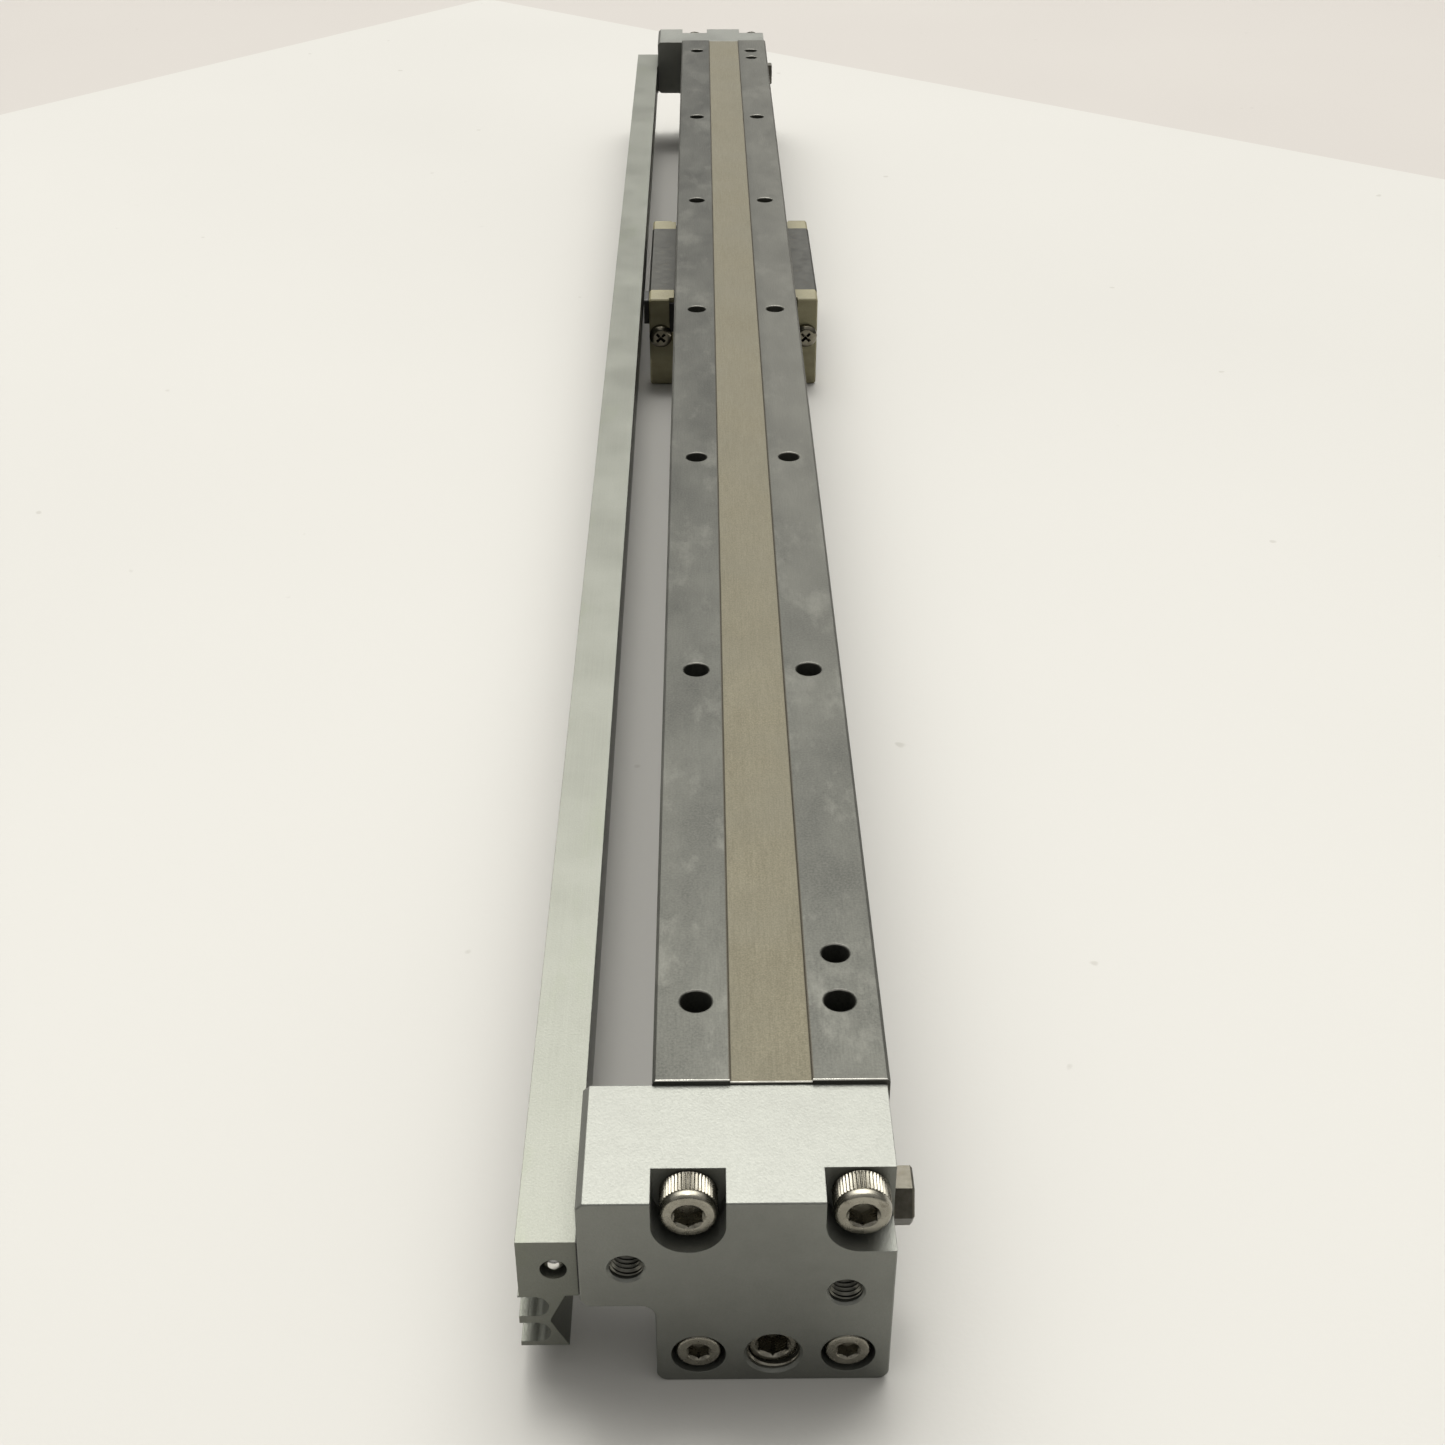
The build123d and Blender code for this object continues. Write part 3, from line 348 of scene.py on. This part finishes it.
MATERIALS = {
    "rail": ground_rail(),
    "block": anodised(
        "bead_blasted_block",
        (0.187, 0.191, 0.174),
        (0.235, 0.241, 0.22),
        # Painted shade inside the air ports and the tube bore
        bores=(
            (PORT_SPOTS, PORT_SHADE_R, SHADE_DEPTH, (0.035, 0.034, 0.027)),
            (((0.0, TUBE_Z),), TUBE_SHADE_R, SHADE_DEPTH, (0.15, 0.147, 0.125)),
        ),
    ),
    "extrusion": anodised(
        "extruded_switch_rail",
        (0.161, 0.166, 0.143),
        (0.211, 0.217, 0.191),
        line_stretch=(9, 0.12, 9),
        smudge=(0.17, 0.185, 0.14),
    ),
    "carriage": plated(
        "carriage_steel", (0.054, 0.054, 0.049), (0.081, 0.081, 0.073), (0.36, 0.50)
    ),
    "nickel": plated("nickel_plate", (0.234, 0.221, 0.183), (0.359, 0.342, 0.289), (0.2, 0.36)),
    "plug": plated("plug_steel", (0.075, 0.07, 0.056), (0.14, 0.132, 0.11), (0.30, 0.48)),
    "pan_screw": plated(
        "pan_screw_steel", (0.14, 0.128, 0.098), (0.25, 0.232, 0.185), (0.14, 0.26)
    ),
    # Painted shade: a dark base for the thread ridges deep in the ports
    "port": plated("port_thread_in_shade", (0.12, 0.118, 0.10), (0.22, 0.217, 0.19), (0.25, 0.4)),
    "bright": plated("bright_steel", (0.62, 0.61, 0.58), (0.78, 0.77, 0.74), (0.08, 0.18)),
    "resin": moulded("brown_resin", (0.224, 0.202, 0.116), (0.31, 0.284, 0.172)),
    "black_resin": moulded("black_resin", (0.018, 0.018, 0.017), (0.04, 0.04, 0.037)),
    "rubber": moulded("black_rubber", (0.012, 0.012, 0.012), (0.03, 0.03, 0.029), (0.6, 0.8)),
    "urethane": moulded("urethane", (0.20, 0.13, 0.05), (0.33, 0.23, 0.10), (0.3, 0.45)),
    "wear_resin": moulded("wear_resin", (0.50, 0.45, 0.33), (0.62, 0.57, 0.44)),
    "magnet": plated("magnet_plating", (0.42, 0.42, 0.43), (0.56, 0.56, 0.57), (0.2, 0.34)),
    # Painted shade for the sockets and grooves
    "recess_shade": painted_socket_shade(),
}

# The CAD nodes that have each look
NODE_LOOKS = {
    "rail": ("rail",),
    "block": ("end_block_near", "end_block_far", "tube_holder_near", "tube_holder_far"),
    "extrusion": ("switch_rail",),
    "carriage": ("carriage_body",),
    "nickel": ("switch_rail_screws_near", "switch_rail_screws_far"),
    "pan_screw": ("end_plate_screws_near", "end_plate_screws_far"),
    "plug": (
        "axis_plug_near",
        "axis_plug_far",
        "port_plugs_far",
        "side_plug_near",
        "side_plug_far",
        "inner_yokes",
        "outer_yokes",
        "side_plug_washer_near",
        "side_plug_washer_far",
    ),
    "bright": (
        "cylinder_tube",
        "passage_ball_near",
        "passage_ball_far",
        "balls_left",
        "balls_right",
        "piston_shaft",
        "piston_near",
        "piston_far",
    ),
    "resin": ("end_plate_near", "end_plate_far"),
    "black_resin": ("magnet_holder", "slider_retainers"),
    "rubber": (
        "tube_orings",
        "switch_rail_gasket_near",
        "switch_rail_gasket_far",
        "piston_seals",
        "wiper_near",
        "wiper_far",
    ),
    "urethane": ("bumper_near", "bumper_far"),
    "wear_resin": ("slider_wear_rings", "piston_wear_rings"),
    "magnet": ("switch_magnet", "outer_magnets", "inner_magnets"),
}


def dress(obj, *looks):
    """Give an object its materials, in slot order."""
    obj.data.materials.clear()
    for look in looks:
        obj.data.materials.append(MATERIALS[look])


for look, names in NODE_LOOKS.items():
    for name in names:
        for slot in NODES[name].material_slots:
            slot.material = MATERIALS[look]

# ------------------------------------------------------------------ detailed pieces


def place_piece(name, build, look, body, side=-1, replaced=()):
    """Make a mesh from build(bm), mirror it to the far end if side is 1, and ride it on a body."""
    bm = bmesh.new()
    build(bm)
    if side > 0:
        bmesh.ops.transform(bm, matrix=Matrix.Diagonal((1, -1, 1, 1)), verts=bm.verts)
        bmesh.ops.reverse_faces(bm, faces=bm.faces)
    bmesh.ops.scale(bm, vec=(MM, MM, MM), verts=bm.verts)
    mesh = bpy.data.meshes.new(name)
    bm.to_mesh(mesh)
    bm.free()
    mesh.shade_smooth()
    mesh.set_sharp_from_angle(angle=SHARP_ANGLE)
    obj = bpy.data.objects.new(name, mesh)
    bpy.context.scene.collection.objects.link(obj)
    dress(obj, *look)
    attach(obj, body)
    if replaced:
        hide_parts(*replaced)
    return obj


def lathe(bm, origin, axis, start, profile):
    """Rings of vertices about an axis, joined in order and closed at both ends.

    Each profile row is (radius or function of the ring step, height, material)."""
    across = axis.cross(start)
    rows = []
    for radius, height, _ in profile:
        ring = []
        for step in range(RING_STEPS):
            angle = 2 * math.pi * step / RING_STEPS
            r = radius(step) if callable(radius) else radius
            out = start * math.cos(angle) + across * math.sin(angle)
            ring.append(bm.verts.new(origin + axis * height + out * r))
        rows.append(ring)
    for (low, high), (_, _, look) in zip(zip(rows, rows[1:]), profile[1:]):
        for step in range(RING_STEPS):
            nxt = (step + 1) % RING_STEPS
            face = bm.faces.new((low[step], low[nxt], high[nxt], high[step]))
            face.material_index = look
    bm.faces.new(reversed(rows[0]))
    bm.faces.new(rows[-1]).material_index = profile[-1][2]


def hexagon(width):
    """Radius of a hexagon of that width across flats, by ring step."""
    def radius(step):
        from_flat = math.radians(step * 360 / RING_STEPS % 60 - 30)
        return width / 2 / math.cos(from_flat)
    return radius


def knurl(radius, depth):
    """Radius of a straight knurl, by ring step."""
    half = KNURL_STEPS / 2
    return lambda step: radius - depth * abs((step % KNURL_STEPS) - half) / half


def cap_screws(size, head_r, socket, length, seat, spots):
    """Socket-head cap screws, near end: knurled head, rounded rim, hexagon socket."""
    shank = size / 2 - THREAD_GAP
    height = size
    rim = 0.11 * size
    collar = 0.74 * size
    mouth = socket / math.sqrt(3) + 0.06
    floor = height - 0.55 * size
    profile = (
        (shank * 0.55, -length, 0),
        (shank, -length + 0.7, 0),
        (shank, 0.0, 0),
        (head_r - 0.3, 0.0, 0),
        (head_r - 0.05, 0.2, 0),
        (knurl(head_r, 0.05), 0.35, 0),
        (knurl(head_r, 0.2), 0.5, 0),
        (knurl(head_r, 0.2), collar - 0.2, 0),
        # Painted shade in the groove between the knurl and the rim
        (head_r - 0.24, collar - 0.1, 1),
        (head_r - 0.24, collar, 1),
        (head_r - 0.06, collar + 0.1, 0),
        (head_r - 0.04, collar + 0.3, 0),
        (head_r - 0.12, height - rim, 0),
        (head_r - 0.12 - rim * 0.15, height - rim * 0.5, 0),
        (head_r - 0.12 - rim * 0.5, height - rim * 0.15, 0),
        (head_r - 0.12 - rim, height, 0),
        (mouth + 0.12, height, 0),
        (mouth - 0.02, height - 0.12, 0),
        # Painted shade in the hexagon socket
        (hexagon(socket), height - 0.32, 1),
        (hexagon(socket), floor, 1),
        (socket * 0.42, floor - 0.05, 1),
        (0.05, floor - 0.35, 1),
    )

    def build(bm):
        for x, z in spots:
            origin = Vector((x, -seat, z))
            lathe(bm, origin, Vector((0, -1, 0)), Vector((0, 0, 1)), profile)

    return build


def helix(bm, origin, axis, start, outer, inner, pitch, length):
    """A thread ridge: a band wound about an axis, running out and closed at both ends."""
    across = axis.cross(start)
    steps = round(length / pitch * TURN_STEPS)
    section = (
        (outer, -RIDGE_FOOT),
        (inner, -RIDGE_CREST),
        (inner, RIDGE_CREST),
        (outer, RIDGE_FOOT),
    )
    rings = []
    for step in range(steps + 1):
        angle = 2 * math.pi * step / TURN_STEPS
        grow = min(1.0, step / TURN_STEPS, (steps - step) / TURN_STEPS)
        out = start * math.cos(angle) + across * math.sin(angle)
        ring = []
        for radius, offset in section:
            r = outer + (radius - outer) * max(grow, 0.02)
            rise = step / TURN_STEPS * pitch + offset * pitch * max(grow, 0.1)
            ring.append(bm.verts.new(origin + axis * rise + out * r))
        rings.append(ring)
    for low, high in zip(rings, rings[1:]):
        for side in range(len(section)):
            nxt = (side + 1) % len(section)
            bm.faces.new((low[side], high[side], high[nxt], low[nxt]))
    bm.faces.new(rings[0])
    bm.faces.new(reversed(rings[-1]))


def port_threads(bm):
    """Thread ridges in the near end block's two air ports."""
    for x, z in PORT_SPOTS:
        origin = Vector((x, -BLOCK_FACE + PORT_THREAD_SUNK, z))
        helix(bm, origin, Vector((0, 1, 0)), Vector((0, 0, 1)), *PORT_THREAD)


def axis_plug(bm):
    """A socket plug sunk in its tapped hole, with the hole's thread round its mouth."""
    seat = Vector((0.0, -BLOCK_FACE + PLUG_SUNK, TUBE_Z))
    inward, up = Vector((0, 1, 0)), Vector((0, 0, 1))
    socket = hexagon(PLUG_SOCKET)
    socket_corner = PLUG_SOCKET / math.sqrt(3)
    deep = PLUG_SOCKET_DEPTH
    profile = (
        (PLUG_R - 0.75, PLUG_LENGTH, 0),
        (PLUG_R - 0.1, PLUG_LENGTH - 0.6, 0),
        (PLUG_R - 0.1, 0.45, 0),
        (PLUG_R - 0.35, 0.12, 0),
        (PLUG_R - 0.55, 0.0, 0),
        (socket_corner + 0.22, 0.0, 0),
        # Painted shade in the hexagon socket
        (socket_corner + 0.02, 0.16, 1),
        (socket, 0.4, 1),
        (socket, deep, 1),
        (PLUG_SOCKET * 0.42, deep + 0.1, 1),
        (0.05, deep + 0.3, 1),
    )
    flipped = [(radius, -height, look) for radius, height, look in profile]
    lathe(bm, seat, -inward, up, flipped)
    mouth = Vector((0.0, -BLOCK_FACE + PLUG_THREAD_SUNK, TUBE_Z))
    helix(bm, mouth, inward, up, *PLUG_HOLE_THREAD)


def table_threads(bm):
    """Thread ridges in the four holes of the carriage's table."""
    for x, y in TABLE_HOLES:
        origin = Vector((x, TABLE_MIDDLE + y, TABLE_FACE + TABLE_THREAD_SUNK))
        helix(bm, origin, Vector((0, 0, 1)), Vector((1, 0, 0)), *TABLE_THREAD)


# Slot 1 of the screws and plugs is the painted shade in their sockets and grooves
NICKEL = ("nickel", "recess_shade")
for end, side in (("near", -1), ("far", 1)):
    rail_screws = cap_screws(*M5_SCREW, RAIL_SCREW_SEAT, RAIL_SCREW_SPOTS)
    place_piece(
        f"rail_cap_screws_{end}", rail_screws, NICKEL, "base", side,
        (f"rail_screws_{end}",),
    )
    tube_screws = cap_screws(*M4_SCREW, TUBE_SCREW_SEAT, TUBE_SCREW_SPOTS)
    place_piece(
        f"tube_cap_screws_{end}", tube_screws, NICKEL, "base", side,
        (f"tube_screws_{end}",),
    )
    place_piece(
        f"axis_socket_plug_{end}", axis_plug, NICKEL, "base", side,
        (f"axis_plug_{end}",),
    )
place_piece("port_threads_near", port_threads, ("port",), "base")
place_piece("table_threads", table_threads, ("carriage",), "carriage")

# ------------------------------------------------------------------ floor, light, camera; in metres

FLOOR_POINT = Vector((0.0, 0.0432, -0.042))   # under the carriage's near edge
FLOOR_SLOPE = -0.0074                          # the slide leans on its near end block
SHEET_THICKNESS = 0.0003
PAPER_CORNER = (-0.133, 0.610)                 # the paper's far corner
PAPER_SIDES = ((-0.64, -0.768), (0.78, -0.626))
PAPER_LENGTH = 2.4
PAPER_TONES = ((0.565, 0.556, 0.53), (0.60, 0.592, 0.565))
TABLETOP_HALF = 6.0
TABLETOP_DROP = -0.001                         # below the paper
TABLETOP_TONES = ((0.51, 0.483, 0.46), (0.54, 0.518, 0.49))


def floor_point(x, y, lift):
    """A point on the sloping floor, raised by lift."""
    return Vector((x, y, FLOOR_POINT.z + FLOOR_SLOPE * (y - FLOOR_POINT.y) + lift))


def sheet(name, corners, lift, material):
    """A thin flat slab for the floor, not part of the object."""
    bm = bmesh.new()
    top = [bm.verts.new(floor_point(x, y, lift)) for x, y in corners]
    low = [bm.verts.new(floor_point(x, y, lift - SHEET_THICKNESS)) for x, y in corners]
    bm.faces.new(top)
    bm.faces.new(reversed(low))
    for index in range(len(top)):
        nxt = (index + 1) % len(top)
        bm.faces.new((low[index], low[nxt], top[nxt], top[index]))
    bmesh.ops.recalc_face_normals(bm, faces=bm.faces)
    mesh = bpy.data.meshes.new(name)
    bm.to_mesh(mesh)
    bm.free()
    obj = bpy.data.objects.new(name, mesh)
    bpy.context.scene.collection.objects.link(obj)
    obj.data.materials.append(material)


corner = Vector(PAPER_CORNER)
left = corner + Vector(PAPER_SIDES[0]) * PAPER_LENGTH
right = corner + Vector(PAPER_SIDES[1]) * PAPER_LENGTH
near = left + right - corner
sheet("floor_paper", [corner, left, near, right], 0.0, paper("floor_paper", *PAPER_TONES))
tabletop = [
    (across * TABLETOP_HALF, along * TABLETOP_HALF)
    for across, along in ((-1, -1), (1, -1), (1, 1), (-1, 1))
]
sheet("floor_table", tabletop, TABLETOP_DROP, paper("floor_table", *TABLETOP_TONES))

# A sky brightest behind and above the slide and dim near the horizon, and one soft lamp.
# Each range is the cosine to a direction over which the brightness rises.
UP = (0.0, 0.0, 1.0)
LIGHT_FROM = Vector((-0.03, 0.70, 0.71)).normalized()
GLOW_RANGE = (0.66, 1.0)
GLOW = 6.1
HORIZON_RANGE = (0.30, 0.93)     # the glow fades towards the horizon
DOME_RANGE = (0.05, 0.75)
DOME = (0.12, 0.5)               # all round: brightness at the horizon and overhead
BACKDROP = 0.62                  # even tone that camera rays see past the floor's edge
LIGHT_COLOUR = (1.0, 0.985, 0.945)
LAMP_FROM = Vector((-0.03, 0.35, 0.94)).normalized()
LAMP_STRENGTH = 0.5
LAMP_ANGLE = math.radians(12)

world = bpy.data.worlds.new("studio")
world.use_nodes = True
sky = world.node_tree
direction = sky.nodes.new("ShaderNodeTexCoord").outputs["Generated"]


def sky_facing(towards, low, high, out_low, out_high):
    """A smooth rise of the sky's brightness with the cosine to a direction."""
    cosine = sky.nodes.new("ShaderNodeVectorMath")
    cosine.operation = "DOT_PRODUCT"
    cosine.inputs[1].default_value = towards
    sky.links.new(direction, cosine.inputs[0])
    rise = sky.nodes.new("ShaderNodeMapRange")
    rise.interpolation_type = "SMOOTHSTEP"
    for socket, number in zip(rise.inputs[1:], (low, high, out_low, out_high)):
        socket.default_value = number
    sky.links.new(cosine.outputs["Value"], rise.inputs["Value"])
    return rise.outputs[0]


glow = sky_facing(LIGHT_FROM, *GLOW_RANGE, 0.0, GLOW)
above = sky_facing(UP, *HORIZON_RANGE, 0.0, 1.0)
dome = sky_facing(UP, *DOME_RANGE, *DOME)
brightness = sky.nodes.new("ShaderNodeMath")
brightness.operation = "MULTIPLY_ADD"
sky.links.new(glow, brightness.inputs[0])
sky.links.new(above, brightness.inputs[1])
sky.links.new(dome, brightness.inputs[2])
background = sky.nodes["Background"]
background.inputs["Color"].default_value = (*LIGHT_COLOUR, 1.0)
shown = sky.nodes.new("ShaderNodeMix")
light_path = sky.nodes.new("ShaderNodeLightPath")
sky.links.new(light_path.outputs["Is Camera Ray"], shown.inputs["Factor"])
sky.links.new(brightness.outputs[0], shown.inputs["A"])
shown.inputs["B"].default_value = BACKDROP
sky.links.new(shown.outputs["Result"], background.inputs["Strength"])
bpy.context.scene.world = world

lamp = bpy.data.lights.new("ceiling_lamp", "SUN")
lamp.energy = LAMP_STRENGTH
lamp.angle = LAMP_ANGLE
lamp.color = LIGHT_COLOUR
lamp_object = bpy.data.objects.new("ceiling_lamp", lamp)
lamp_object.rotation_euler = LAMP_FROM.to_track_quat("Z", "Y").to_euler()
bpy.context.scene.collection.objects.link(lamp_object)

# The camera, in the row frame
CAMERA_SPOT = Vector((-0.009718, -0.525370, 0.200800))
CAMERA_TILT = math.radians(33.298)
CAMERA_YAW = -0.011166
CAMERA_ROLL = 0.0004
CAMERA_LENS = 46.95
CAMERA_SENSOR = 36.0
CAMERA_CLIP = (0.01, 50.0)

camera = bpy.data.cameras.new("camera")
camera.sensor_width = CAMERA_SENSOR
camera.lens = CAMERA_LENS
camera.clip_start, camera.clip_end = CAMERA_CLIP
camera_object = bpy.data.objects.new("camera", camera)
camera_object.location = CAMERA_SPOT
yaw = Matrix.Rotation(CAMERA_YAW, 4, "Z")
tilt = Matrix.Rotation(math.pi / 2 - CAMERA_TILT, 4, "X")
roll = Matrix.Rotation(CAMERA_ROLL, 4, "Z")
camera_object.rotation_euler = (yaw @ tilt @ roll).to_euler()
bpy.context.scene.collection.objects.link(camera_object)
bpy.context.scene.camera = camera_object

bpy.context.scene.view_settings.view_transform = "Standard"
